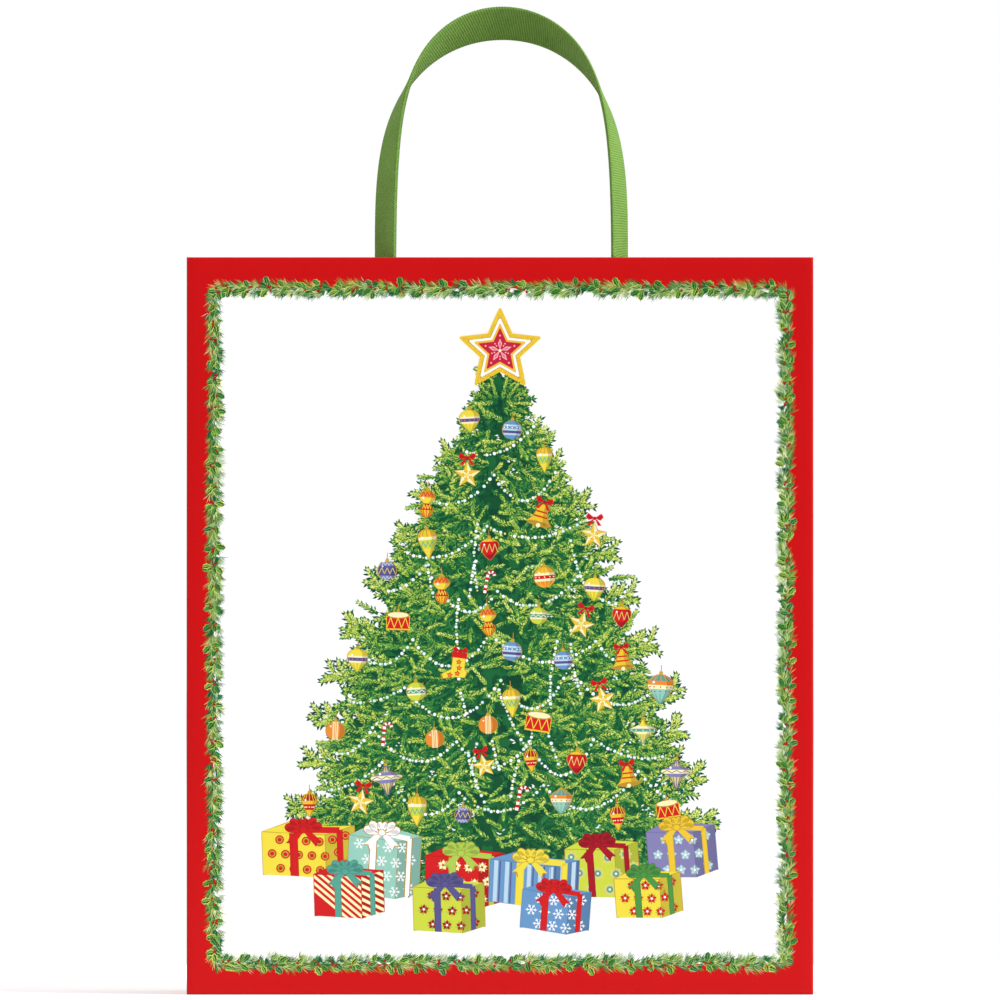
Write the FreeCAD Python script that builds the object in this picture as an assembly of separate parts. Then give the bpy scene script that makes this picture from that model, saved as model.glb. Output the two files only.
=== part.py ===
import FreeCAD, Part
import math
import os

from FreeCAD import Vector

# Gift tote bag, standing open on a table. +X runs across the front panel, -Y is the front, +Z is up.
# The origin is on the table, under the middle of the bag. Lengths are in millimetres.
WIDTH = 340.0
DEPTH = 150.0
HEIGHT = 400.0
FABRIC = 0.8  # laminated non-woven sheet
HEM_DEPTH = 35.0  # how far the rim is turned in

CREASE_DEPTH = 8.0  # how far each gusset is drawn in at the rim
CREASE_START = 150.0  # height where the gusset leaves its flat state
GUSSET_FLAT = 10.0  # flat margin of a gusset beside each corner

SEAM_WIDTH = 9.0  # bound seam allowances, pressed flat inside
SEAM_THICK = 1.2

BOARD_GAP_SIDE = 2.7
BOARD_GAP_ENDS = 2.4
BOARD_THICK = 2.5
BOARD_CORNER = 6.0
BOARD_LIFT = 0.2  # free play above the bottom seams

STRAP_WIDTH = 25.0
STRAP_THICK = 2.4
STRAP_HALF_SPAN = 63.8  # centre of a leg from the middle of the bag
STRAP_RISE = 127.4  # crown centre above the rim
STRAP_ROUNDNESS = 3.3  # exponent of the arch
STRAP_LEAN = 40.0  # how far the crown leans towards the middle of the bag
STRAP_LEAN_POWER = 1.25
SEWN_TURN = -90.0  # turn of the webbing, in degrees, where it lies flat on the panel
RIM_TURN = -20.0  # the same at the rim
CROWN_TURN = 40.0  # and at the crown
TURN_POWER = 1.68
SEWN_BOTTOM = 320.0  # heights of the sewn end of each strap
SEWN_TOP = 352.0
STRAP_CLEARANCE = 0.3
LOOP_START = 2.5  # height above the rim where the loose loop begins
LOOP_SECTIONS = 49
RISER_SECTIONS = 9
ARCH_SAMPLES = 600

PATCH_WIDTH = 40.0
PATCH_BELOW = 4.0
PATCH_HEIGHT = 44.0

THREAD = 0.5
BOX_STITCH_INSET = 2.5

HALF_WIDTH = WIDTH / 2
HALF_DEPTH = DEPTH / 2
INNER_X = HALF_WIDTH - FABRIC
INNER_Y = HALF_DEPTH - FABRIC
LINED_Y = INNER_Y - FABRIC  # inner face of a hem or a patch
HEM_BOTTOM = HEIGHT - HEM_DEPTH
SEAM_TOP = FABRIC + SEAM_THICK

os.makedirs("parts", exist_ok=True)


def box(x0, x1, y0, y1, z0, z1):
    return Part.makeBox(x1 - x0, y1 - y0, z1 - z0, Vector(x0, y0, z0))


def mirrored_front_to_back(shape):
    return shape.mirror(Vector(0, 0, 0), Vector(0, 1, 0))


def mirrored_left_to_right(shape):
    return shape.mirror(Vector(0, 0, 0), Vector(1, 0, 0))


def closed_wire(points):
    return Part.makePolygon(points + [points[0]])


def export(node, shape):
    if not shape.isValid():
        raise ValueError("the solid of " + node + " is not valid")
    shape.exportStep("parts/" + node + ".step")


def export_front_and_back(name, shape):
    export("front_" + name, shape)
    export("back_" + name, mirrored_front_to_back(shape))


def export_left_and_right(name, shape):
    export("left_" + name, shape)
    export("right_" + name, mirrored_left_to_right(shape))


def export_four(name, shape):
    """A front left piece and its three mirror images."""
    export_front_and_back("left_" + name, shape)
    export_front_and_back("right_" + name, mirrored_left_to_right(shape))


def crease(z):
    """How far a gusset's middle is drawn in at height z."""
    return CREASE_DEPTH * max(0.0, z - CREASE_START) / (HEIGHT - CREASE_START)


def gusset_layer(layer, reach_y, heights):
    """One layer of fabric of the left gusset, counted from the outside, out to y = reach_y."""
    wires = []
    flat_y = INNER_Y - GUSSET_FLAT
    for z in heights:
        outline = [(0.0, -reach_y), (0.0, -flat_y), (crease(z), 0.0), (0.0, flat_y), (0.0, reach_y)]
        outer_x = -HALF_WIDTH + layer * FABRIC
        outer = [Vector(outer_x + inward, y, z) for inward, y in outline]
        inner = [point + Vector(FABRIC, 0, 0) for point in reversed(outer)]
        wires.append(closed_wire(outer + inner))
    return Part.makeLoft(wires, True, True)


def make_panels():
    export_front_and_back("panel", box(-HALF_WIDTH, HALF_WIDTH, -HALF_DEPTH, -INNER_Y, 0, HEIGHT))
    export("bottom_panel", box(-INNER_X, INNER_X, -INNER_Y, INNER_Y, 0, FABRIC))
    export_left_and_right("gusset", gusset_layer(0, INNER_Y, [0.0, CREASE_START, HEIGHT]))


def make_hems():
    export_front_and_back("hem", box(-INNER_X, INNER_X, -INNER_Y, -LINED_Y, HEM_BOTTOM, HEIGHT))
    export_left_and_right("hem", gusset_layer(1, LINED_Y, [HEM_BOTTOM, HEIGHT]))


def make_seams():
    corner_seam = box(-INNER_X, -INNER_X + SEAM_WIDTH, -INNER_Y, -INNER_Y + SEAM_THICK, SEAM_TOP, HEM_BOTTOM)
    export_four("corner_seam", corner_seam)
    long_seam = box(-INNER_X, INNER_X, -INNER_Y, -INNER_Y + SEAM_WIDTH, FABRIC, SEAM_TOP)
    export_front_and_back("bottom_seam", long_seam)
    end_y = INNER_Y - SEAM_WIDTH
    export_left_and_right("bottom_seam", box(-INNER_X, -INNER_X + SEAM_WIDTH, -end_y, end_y, FABRIC, SEAM_TOP))


def make_base_board():
    x = INNER_X - BOARD_GAP_SIDE
    y = INNER_Y - BOARD_GAP_ENDS
    bottom = SEAM_TOP + BOARD_LIFT
    board = box(-x, x, -y, y, bottom, bottom + BOARD_THICK)
    upright = [edge for edge in board.Edges if abs(edge.tangentAt(edge.FirstParameter).z) > 0.9]
    export("base_board", board.makeFillet(BOARD_CORNER, upright))


def edge_reach(turn):
    """Half the front-to-back extent of the webbing's section at a turn in degrees."""
    angle = math.radians(turn)
    return STRAP_WIDTH / 2 * math.cos(angle) + STRAP_THICK / 2 * abs(math.sin(angle))


def riser_centre_y(turn, share):
    return -LINED_Y + edge_reach(turn) + STRAP_CLEARANCE * share


def section(centre, tangent, turn, outward):
    """The webbing's rectangular section, square to its run and turned from edge-on by turn degrees."""
    angle = math.radians(turn)
    across = Vector(0, -1, 0) * math.cos(angle) + outward * math.sin(angle)
    across = across - tangent * across.dot(tangent)
    across.normalize()
    through = tangent.cross(across)
    half_w = across * (STRAP_WIDTH / 2)
    half_t = through * (STRAP_THICK / 2)
    corners = [half_w + half_t, half_w - half_t, -half_w - half_t, -half_w + half_t]
    return closed_wire([centre + corner for corner in corners])


def strap_end():
    """The right end of the front strap: sewn flat, then turning towards edge-on up to the rim."""
    wires = []
    up = Vector(0, 0, 1)
    outward = Vector(1, 0, 0)
    flat = Vector(STRAP_HALF_SPAN, riser_centre_y(SEWN_TURN, 0), SEWN_BOTTOM)
    wires.append(section(flat, up, SEWN_TURN, outward))
    for index in range(RISER_SECTIONS):
        share = index / (RISER_SECTIONS - 1)
        eased = share * share * (3 - 2 * share)
        turn = SEWN_TURN + (RIM_TURN - SEWN_TURN) * eased
        z = SEWN_TOP + (HEIGHT - SEWN_TOP) * share
        centre = Vector(STRAP_HALF_SPAN, riser_centre_y(turn, eased), z)
        wires.append(section(centre, up, turn, outward))
    return Part.makeLoft(wires, True, True)


def arch_point(angle):
    """A point of the loop's centre line, from one leg's foot at 0 to the other's at pi."""
    rise = STRAP_RISE * math.sin(angle) ** (2 / STRAP_ROUNDNESS)
    lean = STRAP_LEAN * (rise / STRAP_RISE) ** STRAP_LEAN_POWER
    rim_y = riser_centre_y(RIM_TURN, 1)
    return Vector(STRAP_HALF_SPAN * math.cos(angle), rim_y + lean, HEIGHT + rise)


def arch_points():
    """Evenly spaced points of the centre line, starting and ending just above the rim."""
    fine = [arch_point(math.pi * i / ARCH_SAMPLES) for i in range(ARCH_SAMPLES + 1)]
    fine = [point for point in fine if point.z >= HEIGHT + LOOP_START]
    run = [0.0]
    for before, after in zip(fine, fine[1:]):
        run.append(run[-1] + before.distanceToPoint(after))
    points = []
    at = 0
    for index in range(LOOP_SECTIONS):
        wanted = run[-1] * index / (LOOP_SECTIONS - 1)
        while at < len(run) - 2 and run[at + 1] < wanted:
            at += 1
        share = (wanted - run[at]) / (run[at + 1] - run[at])
        points.append(fine[at] + (fine[at + 1] - fine[at]) * share)
    points[0].z = HEIGHT + LOOP_START
    points[-1].z = HEIGHT + LOOP_START
    return points


def strap_loop():
    """The loose loop of the front strap."""
    points = arch_points()
    last = len(points) - 1
    wires = []
    for index, centre in enumerate(points):
        if index in (0, last):
            tangent = Vector(0, 0, 1 if index == 0 else -1)
        else:
            tangent = points[index + 1] - points[index - 1]
        tangent.normalize()
        from_rim = min(index, last - index) / (last / 2)
        eased = (1 - math.cos(math.pi * from_rim ** TURN_POWER)) / 2
        turn = RIM_TURN + (CROWN_TURN - RIM_TURN) * eased
        outward = Vector(tangent.z, 0, -tangent.x)
        outward.normalize()
        wires.append(section(centre, tangent, turn, outward))
    return Part.makeLoft(wires, True, True)


def make_handles():
    export_front_and_back("handle_loop", strap_loop())
    export_four("handle_end", mirrored_left_to_right(strap_end()))
    patch_x = PATCH_WIDTH / 2
    patch_z = SEWN_BOTTOM - PATCH_BELOW
    patch = box(-patch_x, patch_x, -INNER_Y, -LINED_Y, patch_z, patch_z + PATCH_HEIGHT)
    patch.translate(Vector(-STRAP_HALF_SPAN, 0, 0))
    export_four("handle_patch", patch)


def box_cross_stitches():
    """Stitch lines on one sewn strap end: a rectangle with a cross in it, standing proud of the webbing."""
    x = STRAP_WIDTH / 2 - BOX_STITCH_INSET
    z0 = SEWN_BOTTOM + BOX_STITCH_INSET
    z1 = SEWN_TOP - BOX_STITCH_INSET
    face_y = -LINED_Y + STRAP_THICK
    corners = [Vector(-x, face_y, z0), Vector(x, face_y, z0), Vector(x, face_y, z1), Vector(-x, face_y, z1)]
    pairs = [(0, 1), (1, 2), (2, 3), (3, 0), (0, 2), (1, 3)]
    lines = []
    for start, end in pairs:
        run = corners[end] - corners[start]
        length = run.Length + THREAD
        line = box(-length / 2, length / 2, 0, THREAD, -THREAD / 2, THREAD / 2)
        line.rotate(Vector(0, 0, 0), Vector(0, 1, 0), -math.degrees(math.atan2(run.z, run.x)))
        line.translate((corners[start] + corners[end]) * 0.5)
        lines.append(line)
    stitches = lines[0].multiFuse(lines[1:]).removeSplitter()
    stitches.translate(Vector(-STRAP_HALF_SPAN, 0, 0))
    return stitches


def make_stitches():
    export_four("handle_stitches", box_cross_stitches())


make_panels()
make_hems()
make_seams()
make_base_board()
make_handles()
make_stitches()
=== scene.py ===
import random
from math import atan2, ceil, copysign, cos, dist, exp, hypot, pi, radians, sin, sqrt

import bmesh
import bpy
import numpy as np
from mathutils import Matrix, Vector


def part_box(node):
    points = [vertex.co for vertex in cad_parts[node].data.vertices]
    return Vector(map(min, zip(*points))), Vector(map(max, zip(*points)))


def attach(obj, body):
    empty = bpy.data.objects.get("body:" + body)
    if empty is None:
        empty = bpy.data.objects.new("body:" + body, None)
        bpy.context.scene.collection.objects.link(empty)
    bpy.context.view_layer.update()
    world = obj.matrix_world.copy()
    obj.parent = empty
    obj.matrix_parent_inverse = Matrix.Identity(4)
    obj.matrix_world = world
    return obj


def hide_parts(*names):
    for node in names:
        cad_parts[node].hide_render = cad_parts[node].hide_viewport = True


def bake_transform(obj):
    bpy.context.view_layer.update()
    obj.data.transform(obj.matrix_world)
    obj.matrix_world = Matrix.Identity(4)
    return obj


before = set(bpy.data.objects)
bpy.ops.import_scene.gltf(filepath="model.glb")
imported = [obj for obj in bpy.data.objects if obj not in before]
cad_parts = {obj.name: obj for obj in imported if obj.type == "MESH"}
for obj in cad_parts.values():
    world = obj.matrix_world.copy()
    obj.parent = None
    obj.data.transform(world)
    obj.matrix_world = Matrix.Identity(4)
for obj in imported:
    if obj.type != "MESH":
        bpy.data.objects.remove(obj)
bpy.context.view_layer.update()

# Lengths below are in millimetres, in the frame's own axes; meshes are written in metres.
MM = 0.001


def node_box(node):
    low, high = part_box(node)
    return [c / MM for c in low], [c / MM for c in high]


def middle_and_half(node):
    low, high = node_box(node)
    return [(a + b) / 2 for a, b in zip(low, high)], [(b - a) / 2 for a, b in zip(low, high)]


# ---------------------------------------------------------------- sizes that the frame gives
wall_low, wall_high = node_box("front_panel")
gusset_low, gusset_high = node_box("left_gusset")
SEWN_FOOT = node_box("front_right_handle_end")[0][2]
HALF_WIDTH = wall_high[0]
HALF_DEPTH = -wall_low[1]
RIM = wall_high[2]
SHEET = wall_high[1] - wall_low[1]
CREASE = gusset_high[0] - gusset_low[0] - SHEET
HEM_FOOT = node_box("front_hem")[0][2]
LINED = HALF_DEPTH - 2 * SHEET
INWARDS = {"front": 1, "back": -1}  # the way into the bag along y

# ---------------------------------------------------------------- shape of the fabric
EDGE_ROUND = 1.2  # outside radius of the folded upright edges
FOOT_ROUND = 0.8
ARC_STEPS = 4
CORNER_TURNS = [pi / 2 * i / ARC_STEPS for i in range(ARC_STEPS)]
RIM_TURNS = [radians(80) * i / ARC_STEPS for i in range(1, ARC_STEPS + 1)]
WALL_STEP = 4.0
BULGE = 0.9  # how far a printed wall stands out at its middle
RIM_GIVE = 0.5  # how far the middle of the rim leans in
CREASE_FOOT = 150.0
CREASE_FLAT = 64.0
CREASE_ROUND = 1.6
FOLD_DEPTH = 0.8  # storage creases in the gussets
FOLD_WIDTH = 1.1
GUSSET_SWELL = 0.7  # how far it stands out between them
GUSSET_STEP = 1.9
SEAM_INSET = 0.12
HEM_STEP = 3.0
HEM_EDGE = (0.0, 0.45), (0.25, 0.12), (0.8, 0.0)  # heights over its free edge, with how round it is there

# ---------------------------------------------------------------- the webbing, as in the CAD solids
STRAP_WIDTH = 25.0
STRAP_THICK = 2.4
HALF_SPAN = 63.8
RISE = 128.0
ROUNDNESS = 3.55
LEAN = 40.0
LEAN_POWER = 1.25
SEWN_TURN = -90.0
RIM_TURN = -21.2
CROWN_TURN = 43.5
TURN_POWER = 1.68
SEWN_TOP = 352.0
CLEARANCE = 0.3
LOOP_SHIFT = 1.4  # the loop sits a little to the right
TURN_SKEW = 3.3  # and its left leg is turned a little further
TAPER = 0.006  # its legs lean together a little
RIB_PITCH = 1.4
RIB_SLANT = 0.2
RIB_HEIGHT = 0.2
WARP_PITCH = 1.05
SELVEDGE = 11.2  # where the plain edge of the webbing starts, from its middle
# Painted shade: how much the webbing's colour is darkened past its plain edge, in place of shade on the
# edges that the light catches
SELVEDGE_PAINTED_SHADE = 0.1
STRAP_STEP = 0.375
SLIMMER = 0.28  # the share of its thickness that the webbing loses above its doubled, sewn ends

# ---------------------------------------------------------------- the printed design
FIELD_HALF_WIDTH = 155.5
FIELD_FOOT = 16.5
FIELD_TOP = 383.0
INK_LIFT = 0.03
INK_LAYER = 0.0035
FIR_FOOT = 75.0
FIR_TOP = 338.0
FIR_HALF_WIDTH = 120.0
FIR_SWELL = 1.6  # 1 is a straight cone, and more makes its sides bulge
FIR_TIP = 3.0

# Layers of ink on the white field, from the wall outwards. Each of them has some more on top of it
BOUGH_LAYER = 10
SPRIG_LAYER = 86
FROST_LAYER = 106
BEAD_LAYER = 109
ORNAMENT_LAYER = 114
GIFT_LAYER = 128
STAR_LAYER = 218
TOP_TWIG_LAYER = 232

# ---------------------------------------------------------------- the picture
VIEW_SHARE = 0.6267  # the bag's share of the picture's width
VIEW_MARGIN = 3.0  # clear strip under the bag in the picture
LENS = 1000.0
SENSOR = 36.0


# ================================================================ materials
def linear(code):
    """A hex colour as linear RGB."""
    parts = [int(code[i : i + 2], 16) / 255 for i in (0, 2, 4)]
    return [c / 12.92 if c <= 0.04045 else ((c + 0.055) / 1.055) ** 2.4 for c in parts]


def shaded(colour, factor):
    return [min(1.0, c * factor) for c in colour]


class Graph:
    """The nodes of a material or world, with short names for those that several of them share."""

    def __init__(self, owner, shader="Principled BSDF"):
        owner.use_nodes = True
        self.owner, self.nodes, self.links = owner, owner.node_tree.nodes, owner.node_tree.links
        self.shader = self.nodes[shader]

    def plug(self, socket, value):
        """Joins another node's output to a socket, or sets it to a plain value."""
        if isinstance(value, bpy.types.NodeSocket):
            self.links.new(value, socket)
        else:
            socket.default_value = value

    def give(self, values):
        """Values of the shader, by the names of its sockets."""
        for name, value in values.items():
            self.plug(self.shader.inputs[name], value)

    def node(self, kind, inputs, **settings):
        """A new node with its inputs, by name or by number. Returns its outputs."""
        made = self.nodes.new("ShaderNode" + kind)
        for key, value in settings.items():
            setattr(made, key, value)
        for key, value in inputs.items():
            self.plug(made.inputs[key], value)
        return made.outputs

    def math(self, operation, *values):
        return self.node("Math", dict(enumerate(values)), operation=operation)[0]

    def add(self, a, b):
        return self.math("ADD", a, b)

    def times(self, a, b):
        return self.math("MULTIPLY", a, b)

    def wave(self, value, pitch):
        return self.math("SINE", self.times(value, 2 * pi / pitch))

    def place(self):
        return self.node("TexCoord", {})["Object"]

    def noise(self, place, scale, detail=3.0, roughness=0.55):
        values = {"Vector": place, "Scale": scale, "Detail": detail, "Roughness": roughness}
        return self.node("TexNoise", values)["Fac"]

    def ramp(self, factor, low, high, middle=None):
        """A colour that runs from low to high with factor."""
        made = self.nodes.new("ShaderNodeValToRGB")
        stops = made.color_ramp.elements
        stops[0].color, stops[1].color = (*low, 1), (*high, 1)
        if middle:
            stops.new(0.5).color = (*middle, 1)
        self.plug(made.inputs[0], factor)
        return made.outputs[0]

    def cloudy(self, factor, colour, low, high):
        return self.ramp(factor, shaded(colour, low), shaded(colour, high))

    def spread(self, factor, low, high):
        return self.node("MapRange", {"Value": factor, "To Min": low, "To Max": high})[0]

    def bump(self, height, strength, distance):
        values = {"Height": height, "Strength": strength, "Distance": distance}
        self.give({"Normal": self.node("Bump", values)[0]})

    def lattice(self, pitch):
        """The diamond grid of bonding points that non-woven fabric is pressed with."""
        x, y, z = self.node("SeparateXYZ", {0: self.place()})
        along = self.add(x, y)
        return self.times(self.wave(self.add(along, z), pitch * MM),
                          self.wave(self.math("SUBTRACT", along, z), pitch * MM))


def new_graph(name):
    return Graph(bpy.data.materials.new(name))


def laminate(name, colour, variation=0.03):
    """Printed film over non-woven fabric: smooth and softly glossy, with the bonding grid faint under it."""
    graph = new_graph(name)
    place = graph.place()
    graph.give({
        "Base Color": graph.cloudy(graph.noise(place, 14.0), colour, 1 - variation, 1 + variation),
        "Roughness": graph.spread(graph.noise(place, 60.0), 0.28, 0.36),
        "Specular IOR Level": 0.18,
    })
    grain = graph.times(graph.noise(place, 900.0), 0.5)
    graph.bump(graph.add(graph.lattice(1.6), grain), 0.10, 0.00012)
    return graph.owner


def nonwoven(name, colour):
    """The white, matt reverse of the fabric: pressed fibres and a clear grid of bonding points."""
    graph = new_graph(name)
    dots = graph.spread(graph.lattice(2.0), 0.0, 1.0)
    fibres = graph.noise(graph.place(), 700.0, 6.0, 0.7)
    mixed = graph.add(graph.times(dots, 0.35), graph.times(fibres, 0.65))
    graph.give({
        "Base Color": graph.cloudy(mixed, colour, 0.86, 1.06),
        "Roughness": graph.spread(fibres, 0.65, 0.9),
        "Specular IOR Level": 0.2,
    })
    graph.bump(graph.add(dots, graph.times(fibres, 0.6)), 0.35, 0.0002)
    return graph.owner


def webbing(name, dark, middle, light):
    """Woven tape: slanted ribs, crossed by the columns of its warp, with painted shade that darkens it
    towards its edges.
    """
    graph = new_graph(name)
    across, along, _ = graph.node("SeparateXYZ", {0: graph.node("UVMap", {}, uv_map="weave")[0]})
    rib = graph.wave(graph.add(along, graph.times(across, RIB_SLANT)), RIB_PITCH)
    yarn = graph.add(graph.times(rib, 0.26), graph.times(graph.wave(across, WARP_PITCH), 0.12))
    fuzz = graph.noise(graph.place(), 900.0, 5.0, 0.7)
    cloud = graph.noise(graph.place(), 60.0)
    tone = graph.add(graph.add(yarn, 0.5), graph.times(graph.math("SUBTRACT", fuzz, 0.5), 0.9))
    tone = graph.add(tone, graph.times(graph.math("SUBTRACT", cloud, 0.5), 0.35))
    # Painted shade: the colour is darkened towards both edges of the webbing, past its plain edge
    past = graph.math("SUBTRACT", graph.math("ABSOLUTE", across), SELVEDGE)
    tone = graph.math("SUBTRACT", tone, graph.spread(past, 0.0, SELVEDGE_PAINTED_SHADE))
    graph.give({
        "Base Color": graph.ramp(tone, dark, light, middle),
        "Roughness": graph.spread(fuzz, 0.6, 0.85),
        "Specular IOR Level": 0.08,
    })
    graph.bump(graph.add(graph.times(fuzz, 0.8), yarn), 0.5, 0.00018)
    return graph.owner


def thread(name, colour):
    graph = new_graph(name)
    twist = graph.noise(graph.place(), 2200.0, 4.0, 0.7)
    graph.give({
        "Base Color": graph.cloudy(twist, colour, 0.7, 1.25),
        "Roughness": 0.55,
        "Sheen Weight": 0.3,
    })
    graph.bump(twist, 0.4, 0.0001)
    return graph.owner


def card(name, colour):
    """Grey-white board: long paper fibres, flecks and a soft, uneven surface."""
    graph = new_graph(name)
    place = graph.place()
    stretched = graph.node("Mapping", {"Vector": place, "Scale": (40.0, 260.0, 260.0)})[0]
    fibres = graph.noise(stretched, 1.0, 6.0, 0.7)
    flecks = graph.noise(place, 420.0, 2.0, 0.5)
    mixed = graph.add(graph.times(fibres, 0.6), graph.times(flecks, 0.4))
    graph.give({
        "Base Color": graph.cloudy(mixed, colour, 0.78, 1.14),
        "Roughness": 0.85,
        "Specular IOR Level": 0.2,
    })
    graph.bump(graph.add(fibres, flecks), 0.25, 0.0002)
    return graph.owner


def ink(name, code):
    """One shade of the print, under the same film as the panel."""
    graph = new_graph("ink_" + name)
    colour = (*shaded(linear(code), 0.93), 1)
    graph.give({"Base Color": colour, "Roughness": 0.32, "Specular IOR Level": 0.22})
    return graph.owner


RED = [0.55, 0.003, 0.0045]
WHITE = [0.94, 0.94, 0.94]
GREENS = [0.09, 0.185, 0.03], [0.178, 0.338, 0.064], [0.29, 0.50, 0.12]
MATERIALS = {
    "red": laminate("red_laminate", RED),
    "field": laminate("white_laminate", WHITE, 0.01),
    "reverse": nonwoven("white_reverse", [0.80, 0.80, 0.78]),
    "binding": nonwoven("seam_binding", [0.78, 0.78, 0.76]),
    "webbing": webbing("green_webbing", *GREENS),
    "thread": thread("green_thread", [0.20, 0.36, 0.08]),
    "white_thread": thread("white_thread", [0.75, 0.75, 0.72]),
    "card": card("base_card", [0.70, 0.69, 0.65]),
}


# ================================================================ meshes
def stand(name, data):
    """Puts a new object in the scene."""
    made = bpy.data.objects.new(name, data)
    bpy.context.scene.collection.objects.link(made)
    return made


def filled(name, points, faces, kinds, materials, smooth=True):
    """An object from points in millimetres and faces, with each face's material."""
    data = bpy.data.meshes.new(name)
    data.from_pydata([[c * MM for c in point] for point in points], [], faces)
    for material in materials:
        data.materials.append(material)
    data.polygons.foreach_set("material_index", kinds)
    data.polygons.foreach_set("use_smooth", [smooth] * len(faces))
    return stand(name, data)


def turn_outwards(piece):
    """Turns every face of a closed piece outwards."""
    work = bmesh.new()
    work.from_mesh(piece.data)
    bmesh.ops.recalc_face_normals(work, faces=work.faces)
    work.to_mesh(piece.data)
    work.free()


class Mesh:
    """Points, faces and each face's material, gathered before they become one piece of the bag."""

    def __init__(self):
        self.points, self.faces, self.kinds, self.tubes = [], [], [], 0

    def quads(self, rows, columns, start, kind, flipped=False, closed=False):
        for r in range(rows - 1):
            for c in range(columns if closed else columns - 1):
                d = (c + 1) % columns
                face = (start + r * columns + c, start + r * columns + d,
                        start + (r + 1) * columns + d, start + (r + 1) * columns + c)
                self.faces.append(face[::-1] if flipped else face)
                self.kinds.append(kind(r, c) if callable(kind) else kind)

    def sheet(self, outer, inner, outer_kind, inner_kind, edge_kind):
        """A closed sheet between two grids of points of the same size, seen from outside."""
        rows, columns = len(outer), len(outer[0])
        start = len(self.points)
        for grid in (outer, inner):
            for row in grid:
                self.points.extend(row)
        behind = start + rows * columns
        self.quads(rows, columns, start, outer_kind)
        self.quads(rows, columns, behind, inner_kind, flipped=True)
        border = list(range(columns))
        border += [r * columns + columns - 1 for r in range(1, rows)]
        border += [(rows - 1) * columns + c for c in range(columns - 2, -1, -1)]
        border += [r * columns for r in range(rows - 2, 0, -1)]
        for a, b in zip(border, border[1:] + border[:1]):
            self.faces.append((start + b, start + a, behind + a, behind + b))
            self.kinds.append(edge_kind)

    def tube(self, rings, kind):
        """A closed skin over rings of points, with its two ends capped."""
        self.tubes += 1
        start = len(self.points)
        columns = len(rings[0])
        for ring in rings:
            self.points.extend(ring)
        self.quads(len(rings), columns, start, kind, closed=True)
        self.faces.append(tuple(range(start + columns - 1, start - 1, -1)))
        last = start + (len(rings) - 1) * columns
        self.faces.append(tuple(range(last, last + columns)))
        self.kinds.extend([kind, kind])

    def build(self, name, materials, slot, node):
        """A piece that stands still with the bag, in place of one CAD node."""
        worn = [MATERIALS[material] for material in materials]
        piece = filled(name, self.points, self.faces, self.kinds, worn)
        piece.data.validate()
        if self.tubes:
            turn_outwards(piece)
        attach(piece, "bag")
        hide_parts(node)
        return piece


def placed(side, u, d, z):
    """A point of a wall, from its place seen from outside: u to the right, d inwards from its plane."""
    if side == "front":
        return (u, -HALF_DEPTH + d, z)
    if side == "back":
        return (-u, HALF_DEPTH - d, z)
    if side == "left":
        return (-HALF_WIDTH + d, -u, z)
    return (HALF_WIDTH - d, u, z)


def steps(low, high, size):
    count = max(1, round((high - low) / size))
    return [low + (high - low) * i / count for i in range(count + 1)]


def around(count):
    """Angles of a full turn in equal steps."""
    return [2 * pi * k / count for k in range(count)]


def squared(value, power):
    """A sine or cosine pushed out towards a box's, the more so the smaller the power."""
    return copysign(abs(value) ** power, value)


def stations(*ends, size=WALL_STEP):
    """Stations from the first of the ends to the last, one of them at every end."""
    runs = [steps(low, high, size) for low, high in zip(ends, ends[1:])]
    return runs[0] + [value for run in runs[1:] for value in run[1:]]


def eased(t):
    t = min(1.0, max(0.0, t))
    return t * t * (3 - 2 * t)


def wall_bulge(u, z):
    """How far a printed wall stands out of its plane."""
    across = 1 - (u / HALF_WIDTH) ** 2
    up = z / RIM
    return across * (BULGE * sin(pi * up**0.9) - RIM_GIVE * up**6)


def gusset_inset(u, z):
    """How far a gusset is drawn in, with the creases it keeps from being stored flat."""
    open_share = max(0.0, z - CREASE_FOOT) / (RIM - CREASE_FOOT)
    fall = max(0.0, 1 - hypot(u, CREASE_ROUND) / CREASE_FLAT)
    line = abs(u) if z > HALF_DEPTH else abs(z - HALF_DEPTH + abs(u)) / sqrt(2)
    fold = FOLD_DEPTH * exp(-((line / FOLD_WIDTH) ** 2))
    between = sin(pi * min(1.0, abs(u) / HALF_DEPTH)) * sin(pi * z / RIM)
    return CREASE * open_share * fall + fold - GUSSET_SWELL * between


# ================================================================ walls, gussets and hems
def make_sheet(node, name, faces, kinds, materials=("red", "reverse"), slot="red_laminate"):
    mesh = Mesh()
    mesh.sheet(*faces, *kinds)
    mesh.build(name, materials, slot, node)


def wall_columns():
    """Stations round a printed wall: u and depth, on its outer and on its inner face."""
    inner_round = EDGE_ROUND - SHEET
    corner = HALF_WIDTH - EDGE_ROUND
    edge = [(-corner - EDGE_ROUND * cos(a), EDGE_ROUND * (1 - sin(a)),
             -corner - inner_round * cos(a), EDGE_ROUND - inner_round * sin(a)) for a in CORNER_TURNS]
    flat = stations(-corner, -FIELD_HALF_WIDTH, FIELD_HALF_WIDTH, corner)
    far_edge = [(-u, depth, -inner_u, inner_depth) for u, depth, inner_u, inner_depth in reversed(edge)]
    return edge + [(u, 0.0, u, SHEET) for u in flat] + far_edge


def wall_rows():
    """Heights of a wall's rows, with how far the outer and the inner face are drawn in there."""
    rows = [(FOOT_ROUND * (1 - cos(b)), *[FOOT_ROUND * (1 - sin(b))] * 2) for b in CORNER_TURNS]
    high = RIM - SHEET
    rows += [(z, 0.0, 0.0) for z in stations(FOOT_ROUND, FIELD_FOOT, FIELD_TOP, high)]
    return rows + [(high + SHEET * sin(b), SHEET * (1 - cos(b)), 0.0) for b in RIM_TURNS]


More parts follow.
